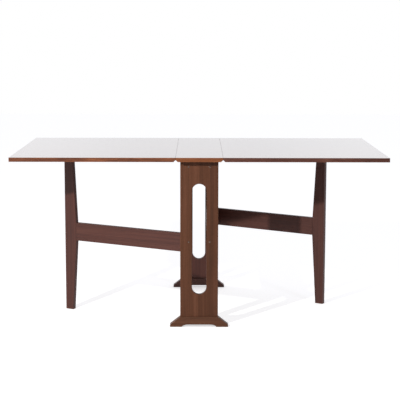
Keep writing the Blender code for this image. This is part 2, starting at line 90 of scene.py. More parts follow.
turn = (Matrix.Rotation(math.radians(-CAMERA_RIGHT), 4, "Z")
        @ Matrix.Rotation(math.radians(90 - CAMERA_DOWN), 4, "X")
        @ Matrix.Rotation(math.radians(CAMERA_ROLL), 4, "Z"))
lens = bpy.data.cameras.new("studio_camera")
lens.sensor_width = SENSOR
lens.lens = LENS_PIXELS * SENSOR / PICTURE
camera = bpy.data.objects.new("studio_camera", lens)
camera.matrix_world = Matrix.Translation(CAMERA_PLACE) @ turn
bpy.context.scene.collection.objects.link(camera)
bpy.context.scene.camera = camera
bpy.context.scene.view_settings.view_transform = "Standard"
print("lens", round(lens.lens, 1), "mm")

# %% [markdown]
# ## Small helpers
#
# Colours are written as sRGB hex, the way a colour picker shows them, and one function turns them
# into the linear values that shaders work in. A second function adds a node, sets it and links
# it, so that each material below reads as a short list of steps. A third starts a material. Math
# and Mix nodes have several sockets of one name, so theirs go by number.

# %% Colour and node helpers
FACTOR, NUMBER_A, NUMBER_B, COLOUR_A, COLOUR_B = 0, 2, 3, 6, 7    # inputs of a Mix node
MIXED_COLOUR = 2                 # its output for colours


def linear(colour):
    """Linear RGBA of a hex colour, by the sRGB curve."""
    parts = [int(colour[i:i + 2], 16) / 255 for i in (1, 3, 5)]
    return [c / 12.92 if c <= 0.04045 else ((c + 0.055) / 1.055) ** 2.4 for c in parts] + [1.0]


def add(tree, kind, inputs=None, **settings):
    """One more node: settings are its own properties, and inputs fill its sockets, by name or by
    number, with a value or with the (node, output) that is linked there."""
    node = tree.nodes.new("ShaderNode" + kind)
    for name, value in settings.items():
        setattr(node, name, value)
    for socket, value in (inputs or {}).items():
        if isinstance(value, tuple) and isinstance(value[0], bpy.types.Node):
            tree.links.new(value[0].outputs[value[1]], node.inputs[socket])
        else:
            node.inputs[socket].default_value = value
    return node


def empty_material(name):
    """A material with no nodes yet, and its tree."""
    material = bpy.data.materials.new(name)
    material.use_nodes = True
    material.node_tree.nodes.clear()
    return material, material.node_tree


print("white is", linear("#FFFFFF")[:3])

# %% [markdown]
# ## Floor
#
# The studio has a white paper floor, and a plane with a few cuts is enough for it. The paper takes
# the table's shadow, and some plain white is added for what the camera and mirror-like surfaces
# see. So it stays as pale as in the photograph without any more light falling on the table. Close
# to the feet the added white fades, as no light gets in there. From below the paper is clear, so
# that the table's underside can be looked at.

# %% Floor
FLOOR_SIDE, FLOOR_CUTS = 24.0, 7
PAPER_WHITE = "#CFCDCA"
PAPER_LIFT = 0.78                # plain white that the camera sees on top of the lit paper
CONTACT_REACH = 0.12             # how near to the wood that white fades
CONTACT_SHADE = 0.35             # and by how much


def studio_paper():
    """White paper off a roll: an even, matt floor with soft shadows and no shine."""
    paper, tree = empty_material("white_studio_paper")
    path = add(tree, "LightPath")
    seen = add(tree, "Math", {0: (path, "Is Camera Ray"), 1: (path, "Is Glossy Ray")},
               operation="MAXIMUM")
    seen = add(tree, "Math", {0: (seen, 0), 1: (path, "Is Transmission Ray")},
               operation="MAXIMUM")
    near = add(tree, "AmbientOcclusion", {"Distance": CONTACT_REACH})
    near = add(tree, "MapRange", {"Value": (near, "AO"), "To Max": PAPER_LIFT,
                                  "To Min": PAPER_LIFT * (1 - CONTACT_SHADE)})
    lift = add(tree, "Math", {0: (seen, 0), 1: (near, 0)}, operation="MULTIPLY")
    glow = add(tree, "Emission", {"Color": linear("#FFFFFF"), "Strength": (lift, 0)})
    lit = add(tree, "BsdfDiffuse", {"Color": linear(PAPER_WHITE)})
    both = add(tree, "AddShader", {0: (lit, 0), 1: (glow, 0)})
    side = add(tree, "NewGeometry")
    clear = add(tree, "BsdfTransparent")
    one_sided = add(tree, "MixShader", {0: (side, "Backfacing"), 1: (both, 0), 2: (clear, 0)})
    add(tree, "OutputMaterial", {"Surface": (one_sided, 0)})
    return paper


bpy.ops.mesh.primitive_plane_add(size=FLOOR_SIDE, location=(0, 0, 0))
floor = bpy.context.object
floor.name = "paper_floor"
bpy.ops.object.mode_set(mode="EDIT")
bpy.ops.mesh.subdivide(number_cuts=FLOOR_CUTS)
bpy.ops.object.mode_set(mode="OBJECT")
floor.data.materials.append(studio_paper())
print("floor", FLOOR_SIDE, "m square")

# %% [markdown]
# ## Lamps
#
# The shadows in the photograph tell where the lamp stood: the front edge of the top throws a dark
# band on the panel below it and on the tops of the legs, about half a metre lower for each metre
# further back, and the panel's shadow falls to the right on the far gate. A lamp to the left of
# the camera does that, small enough for a clear edge. A faint streak behind the right leg shows
# that a weaker, softer lamp stood on the other side.

# %% Lamps
LAMPS = {"main_lamp": ((-1.79, -2.77, 1.90), 0.10, 91.0, "#FFFFFF"),    # place, size, watts, colour
         "soft_lamp": ((1.98, -2.77, 1.90), 0.50, 17.0, "#E6ECFF")}
LAMP_AIM = Vector((0.0, -0.20, 0.45))

for name, (place, size, watts, colour) in LAMPS.items():
    light = bpy.data.lights.new(name, "AREA")
    light.shape, light.size, light.energy = "DISK", size, watts
    light.color = linear(colour)[:3]
    lamp = bpy.data.objects.new(name, light)
    lamp.visible_glossy = name == "main_lamp"    # polish mirrors the soft one as part of the room
    lamp.location = place
    lamp.rotation_euler = (Vector(place) - LAMP_AIM).to_track_quat("Z", "Y").to_euler()
    bpy.context.scene.collection.objects.link(lamp)
    print(name, "at", place)

# %% [markdown]
# ## The white room
#
# White walls fill the shadows, and the polished top mirrors them. A plain white world stands in
# for them here. It is darker on the camera's side, where nothing is lit, and the wall straight
# behind the table is a little darker than the rest, as it is lit from its two sides. What the
# camera sees past the table is white.

# %% The white room
FRONT_FILL, BACK_FILL = 0.175, 0.65    # the room as a light, on the camera's side and behind
FILL_TURN = (-0.30, 0.40)        # where one goes over into the other: -1 is in front, 1 behind
FRONT_MIRROR = 0.18              # what polished faces mirror of the camera's side
FRONT_TURN = (-0.85, -0.55)      # where that goes over into white
MIDDLE_MIRROR = 0.94             # and what they mirror of the wall straight behind the table
MIDDLE_TURN = (0.03, 0.15)       # where that goes over into white, to the left and to the right
ROOM_TINT = "#EBEEFF"            # the room's own light makes the shadows cooler than the lamp
MIRROR_TINT = 0.15               # how much of that tint polished faces mirror

room = bpy.data.worlds.new("white_room")
room.use_nodes = True
bpy.context.scene.world = room
tree = room.node_tree
tree.nodes.clear()
path = add(tree, "LightPath")
way = add(tree, "TexCoord")
way = add(tree, "SeparateXYZ", {0: (way, "Generated")})
mirrored = add(tree, "MapRange", {"Value": (way, "Y"), "From Min": FRONT_TURN[0],
                                  "From Max": FRONT_TURN[1], "To Min": FRONT_MIRROR},
               interpolation_type="SMOOTHSTEP")
fill = add(tree, "MapRange", {"Value": (way, "Y"), "From Min": FILL_TURN[0],
                              "From Max": FILL_TURN[1], "To Min": FRONT_FILL, "To Max": BACK_FILL},
           interpolation_type="SMOOTHSTEP")
aside = add(tree, "Math", {0: (way, "X")}, operation="ABSOLUTE")
aside = add(tree, "MapRange", {"Value": (aside, 0), "From Min": MIDDLE_TURN[0],
                               "From Max": MIDDLE_TURN[1], "To Min": MIDDLE_MIRROR},
            interpolation_type="SMOOTHSTEP")
mirrored = add(tree, "Math", {0: (mirrored, 0), 1: (aside, 0)}, operation="MULTIPLY")
level = add(tree, "Mix", {FACTOR: (path, "Is Glossy Ray"), NUMBER_A: (fill, 0),
                          NUMBER_B: (mirrored, 0)})
seen = add(tree, "Math", {0: (path, "Is Camera Ray"), 1: (path, "Is Transmission Ray")},
           operation="MAXIMUM")
level = add(tree, "Math", {0: (level, 0), 1: (seen, 0)}, operation="MAXIMUM")
plain = add(tree, "Math", {0: (path, "Is Glossy Ray"), 1: 1 - MIRROR_TINT}, operation="MULTIPLY")
plain = add(tree, "Math", {0: (plain, 0), 1: (seen, 0)}, operation="MAXIMUM")
hue = add(tree, "Mix", {FACTOR: (plain, 0), COLOUR_A: linear(ROOM_TINT),
                        COLOUR_B: linear("#FFFFFF")}, data_type="RGBA")
white = add(tree, "Background", {"Color": (hue, MIXED_COLOUR), "Strength": (level, 0)})
add(tree, "OutputWorld", {"Surface": (white, 0)})
print("room lit", FRONT_FILL, "in front and", BACK_FILL, "behind")

# %% [markdown]
# ## How each board lies
#
# Wood is a solid material: its grain runs along the board, and the same rings come out on faces,
# edges and ends. So every board gets axes of its own, with X along the grain and Z out of its
# broad face, and the pattern is worked out in them. The turn into those axes and the board's
# middle go into a Mapping node, and the half size tells the material where the board's edges are.
# The gates stand at an angle. At the end of its swing a gate is square to the frame, so the limit
# of its joint tells how far from square its rail lies.

# %% Board axes
X, Y, Z = Vector((1, 0, 0)), Vector((0, 1, 0)), Vector((0, 0, 1))


def board_axes(name, way, face):
    """The turn into a board's own axes, from the way of its grain and the way that its face looks,
    and in those axes its middle and half size, measured on its CAD node."""
    turn = Matrix((way, face.cross(way), face))
    points = [turn @ v.co for v in nodes[name].data.vertices]
    low = Vector([min(p[i] for p in points) for i in range(3)])
    high = Vector([max(p[i] for p in points) for i in range(3)])
    return turn.to_euler(), (low + high) / 2, (high - low) / 2


joint_range = {j["name"]: j["range_deg"] for j in frame["joints"]}
left_lie = math.radians(joint_range["left_gate_swing"][1])
right_lie = math.radians(joint_range["right_gate_swing"][1])
LEFT_RAIL = Vector((-math.cos(left_lie), math.sin(left_lie), 0))
RIGHT_RAIL = Vector((math.cos(right_lie), -math.sin(right_lie), 0))
print("left gate rail runs along", [round(x, 3) for x in LEFT_RAIL])

# %% [markdown]
# ## The grain of mahogany
#
# Close up, mahogany shows wide bands of light and dark, narrower streaks as long as an arm, fine
# fibres, and short dark pores like pencil dashes. Stretched noise gives all four, each with its
# own length and width in millimetres. Growth rings come from the distance to the heart of the
# tree, which lies outside the board, so they run as straight lines on a face and as arcs on an
# end.

# %% Grain pattern
MM = 0.001
STREAK = (600 * MM, 7 * MM)      # length and width
BAND = (2.5, 5.0)                # a band is this many times as long and as wide as a streak
FIBRE = (110 * MM, 1.4 * MM)
PORE = (9 * MM, 0.8 * MM)        # real pores are a quarter as wide: too fine to show
PORE_TURN = (0.60, 0.72)         # levels of the noise at which a pore begins and is at its darkest
WANDER = (520 * MM, 160 * MM)    # length and width of the bends in the grain
WANDER_SHIFT = 7 * MM            # and how far they take it sideways
RING_GAP = 5.5 * MM
HEART = Vector((0, -260 * MM, -190 * MM))    # the heart of the tree, in a board's own axes
SOFT, FINE = 1.0, 3.0            # detail of the noise: smooth shapes, or finer ones on them
FINE_SHARE = 0.6                 # how strong the finer ones are
NOISE_MIDDLE = (0.5, 0.5, 0.5)
SEED_SHIFT = (7.3, 3.1, 5.7)     # how far each seed moves the pattern on


def stretched(tree, space, size, detail, shift):
    """Noise whose grains are size[0] long and size[1] wide in the board's own axes."""
    length, width = size
    fit = add(tree, "Mapping", {"Vector": space, "Location": shift,
                                "Scale": (1 / length, 1 / width, 1 / width)})
    return add(tree, "TexNoise", {"Vector": (fit, 0), "Scale": 1.0, "Detail": detail,
                                  "Roughness": FINE_SHARE})


def bent_grain(tree, space, shift):
    """The place in a board, moved sideways as its grain wanders."""
    drift = stretched(tree, space, WANDER, SOFT, shift)
    drift = add(tree, "VectorMath", {0: (drift, "Color"), 1: NOISE_MIDDLE}, operation="SUBTRACT")
    drift = add(tree, "VectorMath", {0: (drift, 0), 1: (0, 2 * WANDER_SHIFT, 2 * WANDER_SHIFT)},
                operation="MULTIPLY")
    return add(tree, "VectorMath", {0: space, 1: (drift, 0)}, operation="ADD"), 0


def grain(tree, space, seed, streak_size):
    """Bands, streaks, fibres, pores and rings at a point of a board, each from 0 to 1."""
    shift = tuple(seed * s for s in SEED_SHIFT)
    bent = bent_grain(tree, space, shift)
    band_size = (BAND[0] * streak_size[0], BAND[1] * streak_size[1])
    band = stretched(tree, bent, band_size, SOFT, shift)
    streak = stretched(tree, bent, streak_size, FINE, shift)
    fibre = stretched(tree, bent, FIBRE, FINE, shift)
    pore = stretched(tree, bent, PORE, SOFT, shift)
    pore = add(tree, "MapRange", {"Value": (pore, 0), "From Min": PORE_TURN[0],
                                  "From Max": PORE_TURN[1]})
    radius = add(tree, "VectorMath", {0: bent, 1: HEART}, operation="SUBTRACT")
    radius = add(tree, "VectorMath", {0: (radius, 0), 1: (0, 1, 1)}, operation="MULTIPLY")
    radius = add(tree, "VectorMath", {0: (radius, 0)}, operation="LENGTH")
    ring = add(tree, "Math", {0: (radius, "Value"), 1: 2 * math.pi / RING_GAP},
               operation="MULTIPLY")
    ring = add(tree, "Math", {0: (ring, 0)}, operation="SINE")
    ring = add(tree, "MapRange", {"Value": (ring, 0), "From Min": -1.0, "From Max": 1.0})
    return {"band": (band, 0), "streak": (streak, 0), "fibre": (fibre, 0), "pore": (pore, 0),
            "ring": (ring, 0)}


print("streaks", STREAK, "fibres", FIBRE, "pores", PORE)

# %% [markdown]
# ## Rubbed edges
#
# Hands, cloths and chair backs rub a table at its arrises, where two faces meet: the stain thins
# there and the wood looks lighter and duller. A point of a board lies on an arris when it is close
# to two of the six faces of the board's box, that is, when the middle one of its three distances to
# them is small. Noise breaks the line up, as wear is never even. The ends of legs and feet get the
# same lighter, duller tone in an uneven band close to the floor.

# %% Wear along the arrises
WEAR_WIDTH = 2.2 * MM
WEAR_PATCH = (140 * MM, 40 * MM)
WEAR_DETAIL = 2.0
WEAR_TURN = (0.35, 0.65)         # levels of the noise at which wear begins and is full
WEAR_SHIFT = (2.9, 4.3, 1.7)     # how far each seed moves the patches on
LOW_BAND = 9 * MM                   # height of the lighter band at the ends of legs and feet
LOW_BAND_TURN = (0.45, 1.3)         # shares of it between which that band thins out


def arris_wear(tree, space, half, seed):
    """From 0 inside a face to 1 on a rubbed arris."""
    away = add(tree, "VectorMath", {0: space}, operation="ABSOLUTE")
    away = add(tree, "VectorMath", {0: half, 1: (away, 0)}, operation="SUBTRACT")
    each = add(tree, "SeparateXYZ", {0: (away, 0)})
    least = add(tree, "Math", {0: (each, "X"), 1: (each, "Y")}, operation="MINIMUM")
    most = add(tree, "Math", {0: (each, "X"), 1: (each, "Y")}, operation="MAXIMUM")
    middle = add(tree, "Math", {0: (most, 0), 1: (each, "Z")}, operation="MINIMUM")
    middle = add(tree, "Math", {0: (least, 0), 1: (middle, 0)}, operation="MAXIMUM")
    close = add(tree, "MapRange", {"Value": (middle, 0), "From Min": 0.0, "From Max": WEAR_WIDTH,
                                   "To Min": 1.0, "To Max": 0.0}, interpolation_type="SMOOTHSTEP")
    patch = stretched(tree, space, WEAR_PATCH, WEAR_DETAIL, tuple(seed * s for s in WEAR_SHIFT))
    patch = add(tree, "MapRange", {"Value": (patch, 0), "From Min": WEAR_TURN[0],
                                   "From Max": WEAR_TURN[1]})
    return add(tree, "Math", {0: (close, 0), 1: (patch, 0)}, operation="MULTIPLY"), 0


def lighter_near_floor(tree, place, wear):
    """The arris mask, and more of it close to the floor: a lighter, duller band there."""
    height = add(tree, "SeparateXYZ", {0: (place, "Object")})
    rough = add(tree, "TexNoise", {"Vector": (place, "Object"), "Scale": 1 / LOW_BAND,
                                   "Detail": FINE})
    rough = add(tree, "Math", {0: (rough, 0), 1: LOW_BAND, 2: (height, "Z")},
                operation="MULTIPLY_ADD")
    low = add(tree, "MapRange", {"Value": (rough, 0), "From Min": LOW_BAND_TURN[0] * LOW_BAND,
                                 "From Max": LOW_BAND_TURN[1] * LOW_BAND, "To Min": 1.0, "To Max": 0.0})
    return add(tree, "Math", {0: wear, 1: (low, 0)}, operation="MAXIMUM"), 0


print("rubbed", WEAR_WIDTH / MM, "mm in from each arris")

# %% [markdown]
# ## Strips side by side
#
# A veneered face is made of several sheets laid side by side, and a panel of boards glued edge to
# edge. Each strip has a tone and a figure of its own. Counting strips across the board gives every
# point the number of its strip. The number picks a tone, and it moves the pattern on, as if each
# strip came from another place in the tree.

# %% Strips side by side
FIRST_STRIP = 100                # the count starts here, so that no number is below zero
SEED_STRIPS = 10.0               # how far each seed moves the numbers on that pick the tones
STRIP_TONES = (0.90, 1.10)       # the darkest and the lightest strip


def strips_across(tree, lie, strips, seed):
    """For strips of a width, with a joint at a place: where in the tree a point of the board comes
    from, and the tone of its strip."""
    width, joint = strips
    across = add(tree, "SeparateXYZ", {0: lie})
    count = add(tree, "Math", {0: (across, "Y"), 1: 1 / width, 2: FIRST_STRIP - joint / width},
                operation="MULTIPLY_ADD")
    count = add(tree, "Math", {0: (count, 0)}, operation="FLOOR")
    apart = add(tree, "CombineXYZ", {"X": (count, 0), "Z": (count, 0)})
    space = add(tree, "VectorMath", {0: lie, 1: (apart, 0)}, operation="ADD")
    number = add(tree, "Math", {0: (count, 0), 1: SEED_STRIPS * seed}, operation="ADD")
    tone = add(tree, "TexWhiteNoise", {"W": (number, 0)}, noise_dimensions="1D")
    tone = add(tree, "MapRange", {"Value": (tone, 0), "To Min": STRIP_TONES[0],
                                  "To Max": STRIP_TONES[1]})
    return (space, 0), (tone, 0)


print("strips have", STRIP_TONES[0], "to", STRIP_TONES[1], "of the board's tone")

# %% [markdown]
# ## Colour of stained wood
#
# Stain sinks into streaks and pores, so those are darker, and most of all into end grain. On a
# rubbed arris it is thin. So a board has four tones: deep, middle and light wood, and the rubbed
# arris. Bands, streaks, fibres and rings each have a share in a sum, and the sum picks the tone.

# %% Colour of stained wood
SHARES = {"band": 0.26, "streak": 0.38, "fibre": 0.30, "ring": 0.06}
TONE_PLACES = (0.34, 0.50, 0.66)    # sums at which the wood is deep, middle and light
PORE_DARK = 0.5                  # how far a pore goes towards the deep tone
END_TURN = (0.6, 0.95)           # how squarely a face crosses the grain where end grain begins
END_DARK = 0.55                  # how far end grain goes towards the deep tone


def board_colour(tree, pattern, tone, tones):
    """Stained wood by its pattern, with a strip's own tone and dark pores."""
    total = 0.0
    for part, share in SHARES.items():
        total = (add(tree, "Math", {0: pattern[part], 1: share, 2: total},
                     operation="MULTIPLY_ADD"), 0)
    wood = add(tree, "ValToRGB", {0: total})
    stops = wood.color_ramp.elements
    stops.new(TONE_PLACES[1])
    for stop, place, colour in zip(stops, TONE_PLACES, tones):
        stop.position, stop.color = place, linear(colour)
    wood = add(tree, "HueSaturation", {"Color": (wood, 0), "Value": tone})
    dashes = add(tree, "Math", {0: pattern["pore"], 1: PORE_DARK}, operation="MULTIPLY")
    return add(tree, "Mix", {FACTOR: (dashes, 0), COLOUR_A: (wood, 0),
                             COLOUR_B: linear(tones[0])}, data_type="RGBA")


def surface_colour(tree, wood, facing, grain_way, rubbed, tones):
    """The same wood, darker on end grain and lighter where it is rubbed."""
    out = add(tree, "VectorMath", {0: facing, 1: grain_way}, operation="DOT_PRODUCT")
    out = add(tree, "Math", {0: (out, "Value")}, operation="ABSOLUTE")
    end = add(tree, "MapRange", {"Value": (out, 0), "From Min": END_TURN[0],
                                 "From Max": END_TURN[1], "To Max": END_DARK})
    wood = add(tree, "Mix", {FACTOR: (end, 0), COLOUR_A: (wood, MIXED_COLOUR),
                             COLOUR_B: linear(tones[0])}, data_type="RGBA")
    return add(tree, "Mix", {FACTOR: rubbed, COLOUR_A: (wood, MIXED_COLOUR),
                             COLOUR_B: linear(tones[3])}, data_type="RGBA")


print("shares in the tone:", SHARES)

# %% [markdown]
# ## Stained mahogany
#
# The table is mahogany, stained and lacquered. The lacquer on the top is a smooth coat that
# mirrors the white room at the flat angle of the photograph, which is why the top looks almost
# white there. It also fills most of the grain's relief. Panels and gates have a duller, thinner
# finish. One function makes the finish for a board from four tones and its gloss, since all boards
# are the same wood.

# %% Stained mahogany
RUBBING = 0.40                   # how far a rubbed arris goes towards its own tone
FIBRE_TURN = (0.3, 0.7)          # levels of the fibres between which the roughness changes
ROUGH_SPREAD = (-0.06, 0.07)     # and by how much
WEAR_DULLS = 0.12                # roughness that wear adds
RELIEF, RELIEF_DEPTH = 0.35, 0.12 * MM    # strength and height of the open grain
LACQUER_FILLS = 0.8              # how much of that a full coat of lacquer takes away
WOOD_IOR, LACQUER_IOR = 1.5, 1.6
LACQUER_ROUGHNESS = 0.09


def stained_mahogany(name, axes, grain_way, tones, seed, rough, gloss, coat, streak_size=STREAK,
                     strips=None, rubbing=RUBBING, on_floor=False):
    """Mahogany with a stained and lacquered surface: warm brown with darker streaks and pores, a
    soft sheen, and lighter rubbed arrises. tones are deep, middle and light wood, and the rubbed
    arris. strips are the width of the strips that a face is laid or glued from, and the place of
    a joint between two of them."""
    material, tree = empty_material("mahogany_" + name)
    turn, middle, half = axes
    place = add(tree, "TexCoord")
    lie = (add(tree, "Mapping", {"Vector": (place, "Object"), "Rotation": turn,
                                 "Location": -middle}), 0)
    wear = arris_wear(tree, lie, half, seed)
    if on_floor:
        wear = lighter_near_floor(tree, place, wear)
    space, tone = strips_across(tree, lie, strips, seed) if strips else (lie, 1.0)
    pattern = grain(tree, space, seed, streak_size)
    wood = board_colour(tree, pattern, tone, tones)
    rubbed = add(tree, "Math", {0: wear, 1: rubbing}, operation="MULTIPLY")
    wood = surface_colour(tree, wood, (place, "Normal"), grain_way, (rubbed, 0), tones)

    dull = add(tree, "MapRange", {"Value": pattern["fibre"], "From Min": FIBRE_TURN[0],
                                  "From Max": FIBRE_TURN[1], "To Min": rough + ROUGH_SPREAD[0],
                                  "To Max": rough + ROUGH_SPREAD[1]})
    dull = add(tree, "Math", {0: wear, 1: WEAR_DULLS, 2: (dull, 0)}, operation="MULTIPLY_ADD")
    height = add(tree, "Math", {0: pattern["pore"], 1: -1.0, 2: pattern["fibre"]},
                 operation="MULTIPLY_ADD")
    relief = add(tree, "Bump", {"Height": (height, 0), "Distance": RELIEF_DEPTH,
                                "Strength": RELIEF * (1 - LACQUER_FILLS * coat)})
    surface = add(tree, "BsdfPrincipled", {
        "Base Color": (wood, MIXED_COLOUR), "Roughness": (dull, 0), "Normal": (relief, 0),
        "IOR": WOOD_IOR, "Specular IOR Level": gloss, "Coat Weight": coat,
        "Coat Roughness": LACQUER_ROUGHNESS, "Coat IOR": LACQUER_IOR})
    add(tree, "OutputMaterial", {"Surface": (surface, 0)})
    return material


print("mahogany ready, with strips, rubbed arrises and scuffed ends")

# %% [markdown]
# ## Wood for the frame and the gates
#
# Panels, feet and rails are a plain dark brown, and the gates slightly redder. The rear panel takes
# the gates' redder tones, and the rear panel and foot take the gates' finish. The rear foot's tones
# are bluer than the front foot's: painted cool light for the shade at the far end. Each board has a
# seed of its own, because no two boards come from the same place in a tree. Feet, rails and gates
# keep their CAD shapes, so they only get a finish. The panels and the three boards of the top come
# after that, as pieces of their own.

# %% Finishes of the frame and gates
FRAME_TONES = ("#42291A", "#5A3623", "#6D4531", "#865D3E")
GATE_TONES = ("#3B201A", "#502B22", "#613A2F", "#7F5441")
# the rear foot's bluer tones are painted cool light for its shade at the far end
FOOT_TONES_AND_REAR_SHADE_TINT = {"front_foot": ("#4A2F21", "#633F2C", "#764E38", "#8A6345"),
              "rear_foot": ("#4B3029", "#623F35", "#745043", "#8A6252")}
FRAME_FINISH = (0.46, 0.18, 0.0)    # roughness, specular level, coat
GATE_FINISH = (0.46, 0.31, 0.0)
LEFT_FACE, RIGHT_FACE = LEFT_RAIL.cross(Z), RIGHT_RAIL.cross(Z)
BOARDS = {    # the way of the grain, and the way that the broad face looks
    "front_foot": (X, Y), "rear_foot": (X, Y),
    "left_top_rail": (Y, X), "right_top_rail": (Y, X),
    "left_stretcher": (Y, X), "right_stretcher": (Y, X),
    "left_gate_rail": (LEFT_RAIL, LEFT_FACE), "left_gate_leg": (Z, LEFT_FACE),
    "right_gate_rail": (RIGHT_RAIL, RIGHT_FACE), "right_gate_leg": (Z, RIGHT_FACE),
}

for seed, (name, (way, face)) in enumerate(BOARDS.items(), 1):
    tones = FOOT_TONES_AND_REAR_SHADE_TINT.get(name, GATE_TONES if "gate" in name else FRAME_TONES)
    finish = GATE_FINISH if "gate" in name or name.startswith("rear") else FRAME_FINISH
    nodes[name].data.materials.clear()
    nodes[name].data.materials.append(
        stained_mahogany(name, board_axes(name, way, face), way, tones, seed, *finish,
                         on_floor=name.endswith(("foot", "leg"))))
print(len(BOARDS), "boards finished")

# %% [markdown]
# ## Picking parts of a mesh
#
# In edit mode an operator works on what is selected. By hand that is a click; here a test picks
# the faces, edges or corners by where they are, and the same operators then do the work.

# %% Picking helpers
def pick(kind, test):
    """In edit mode, selects just the faces, edges or corners that pass the test, and says how
    many."""
    bpy.ops.mesh.select_mode(type=kind)
    bpy.ops.mesh.select_all(action="DESELECT")
    mesh = bmesh.from_edit_mesh(bpy.context.object.data)
    elements = {"FACE": mesh.faces, "EDGE": mesh.edges, "VERT": mesh.verts}[kind]
    found = [e for e in elements if test(e)]
    for e in found:
        e.select_set(True)
    bmesh.update_edit_mesh(bpy.context.object.data)
    return len(found)


def halfway(edge):
    """The middle of an edge."""
    return (edge.verts[0].co + edge.verts[1].co) / 2


print("faces, edges and corners can be picked")

# %% [markdown]
# ## Three workshop tools
#
# Every new board starts as a block of its size. A saw is a Boolean modifier that takes a cutter
# out of a piece, and a plane is a Bevel modifier that rounds the sharp arrises. Both are applied
# at once, so that the next step works on the new shape.

# %% Blocks, cuts and rounded arrises
SHARP = math.radians(50)         # faces that meet at more than this have an arris between them
ARRIS_STEPS = 3


def block(name, low, high):
    """A cube primitive at its size and place, as the only selected object, with its place in its
    mesh."""
    bpy.ops.object.select_all(action="DESELECT")
    bpy.ops.mesh.primitive_cube_add(size=1, location=(low + high) / 2, scale=high - low)
    bpy.context.object.name = name
    bpy.ops.object.transform_apply(location=True, rotation=True, scale=True)
    return bpy.context.object


def cut(piece, cutter):
    """Takes the cutter out of the piece and throws the cutter away."""
    saw = piece.modifiers.new("cut", "BOOLEAN")
    saw.operation, saw.solver, saw.object = "DIFFERENCE", "EXACT", cutter
    bpy.context.view_layer.objects.active = piece
    bpy.ops.object.modifier_apply(modifier=saw.name)
    bpy.data.objects.remove(cutter)


def rounded(piece, width, limit="ANGLE"):
    """Rounds the sharp arrises, or those with a bevel weight, and keeps the flat faces flat to the
    eye."""
    bpy.ops.object.shade_smooth_by_angle(angle=SHARP)
    bevel = piece.modifiers.new("arris", "BEVEL")
    bevel.width, bevel.segments, bevel.limit_method = width, ARRIS_STEPS, limit
    bevel.angle_limit = SHARP
    bevel.harden_normals = True
    bpy.ops.object.modifier_apply(modifier=bevel.name)


print("tools for sawing and rounding are ready")

# %% [markdown]
# ## The three boards of the top
#
# The top is a centre board with a leaf on each side: a core with lippings of solid wood round it,
# and veneer laid over both, out to the arris, so that the lippings show only on the edges and
# below. The edges that meet are bevelled underneath, where the hinge barrels lie, and these bevels
# show from the front as two small notches. A box, one bevel and one inset below give that: the
# inset is the line where the lipping meets the backing veneer.

# %% Shape of the top boards
JOINT_BEVEL = 8.5 * MM
TOP_ARRIS = 0.4 * MM
LIPPING = 6.0 * MM
LONG_EDGE = 10 * MM              # an edge that runs further than this along Y is a long one
STRAIGHT_DOWN = -0.99            # a face with a normal below this in Z looks straight down


def top_board(name, joints):
    """A board of the top, bevelled below at the places in X where it meets the next one."""
    low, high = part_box(name)
    board = block("veneered_" + name, low, high)

    def meets_next(edge):
        """Whether a lower edge lies at a joint and runs along it."""
        middle, run = halfway(edge), abs(edge.verts[0].co.y - edge.verts[1].co.y)
        at_joint = any(abs(middle.x - x) < MM for x in joints)
        return middle.z < low.z + MM and at_joint and run > LONG_EDGE

    bpy.ops.object.mode_set(mode="EDIT")
    bevels = pick("EDGE", meets_next)
    bpy.ops.mesh.bevel(offset=JOINT_BEVEL, segments=1, affect="EDGES")
    pick("FACE", lambda f: f.normal.z < STRAIGHT_DOWN)
    bpy.ops.mesh.inset(thickness=LIPPING, use_individual=True)
    bpy.ops.object.mode_set(mode="OBJECT")
    rounded(board, TOP_ARRIS)
    print(board.name, bevels, "bevels,", len(board.data.polygons), "faces")
    return board


left_x, right_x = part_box("centre_top")[0].x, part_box("centre_top")[1].x
tops = {"centre_top": top_board("centre_top", (left_x, right_x)),
        "left_leaf": top_board("left_leaf", (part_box("left_leaf")[1].x,)),
        "right_leaf": top_board("right_leaf", (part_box("right_leaf")[0].x,))}

# %% [markdown]
# ## Finish of the top
#
# The veneer on top is under a full coat of lacquer, which runs over the rounded arris. The
# lippings are the same wood in short lengths with a thinner finish, so their streaks are shorter
# and they mirror less; those at the ends have their grain along the end. The underside is only
# stained. In the photograph the right leaf's lipping is the darkest and the centre one the
# warmest.

# %% Finish of the top boards
VENEER_TONES = ("#663A27", "#835038", "#9A6546", "#B08360")
UNDER_TONES = ("#50311F", "#69422F", "#7B513C", "#8E6650")
LIPPING_TONES = {"centre_top": ("#6E3A20", "#854F2F", "#965E37", "#A3754E"),
                 "left_leaf": ("#3F2015", "#72432C", "#AC6941", "#A0704E"),
                 "right_leaf": ("#361E18", "#5D392E", "#825645", "#88624F")}
VENEER_FINISH = (0.10, 0.5, 1.0)    # roughness, specular level, coat
LIPPING_FINISH = (0.42, 0.18, 0.0)
UNDER_FINISH = (0.55, 0.2, 0.0)
VENEER_RUBBING = 0.15
VENEER_STRIP, VENEER_JOINT = 225 * MM, 30 * MM
LIPPING_STREAK = (110 * MM, 16 * MM)
TOP_SEED, SEED_STEP = 31, 4      # the first board's seed, and from one of its finishes to the next
ON_TOP = 0.3                     # the veneer covers faces with a normal above this in Z


def top_finishes(name, seed):
    """Veneer, side lipping, end lipping and underside of a board of the top, in this order."""
    along, across = board_axes(name, X, Z), board_axes(name, Y, Z)
    lip = LIPPING_TONES[name]
    side_seed, end_seed, under_seed = (seed + i * SEED_STEP for i in (1, 2, 3))
    return (stained_mahogany(name + "_veneer_lacquered", along, X, VENEER_TONES, seed,
                             *VENEER_FINISH, strips=(VENEER_STRIP, VENEER_JOINT),
                             rubbing=VENEER_RUBBING),
            stained_mahogany(name + "_side_lipping", along, X, lip, side_seed, *LIPPING_FINISH,
                             LIPPING_STREAK),
            stained_mahogany(name + "_end_lipping", across, Y, lip, end_seed, *LIPPING_FINISH,
                             LIPPING_STREAK),
            stained_mahogany(name + "_underside_stained", along, X, UNDER_TONES, under_seed,
                             *UNDER_FINISH, strips=(VENEER_STRIP, -VENEER_JOINT)))


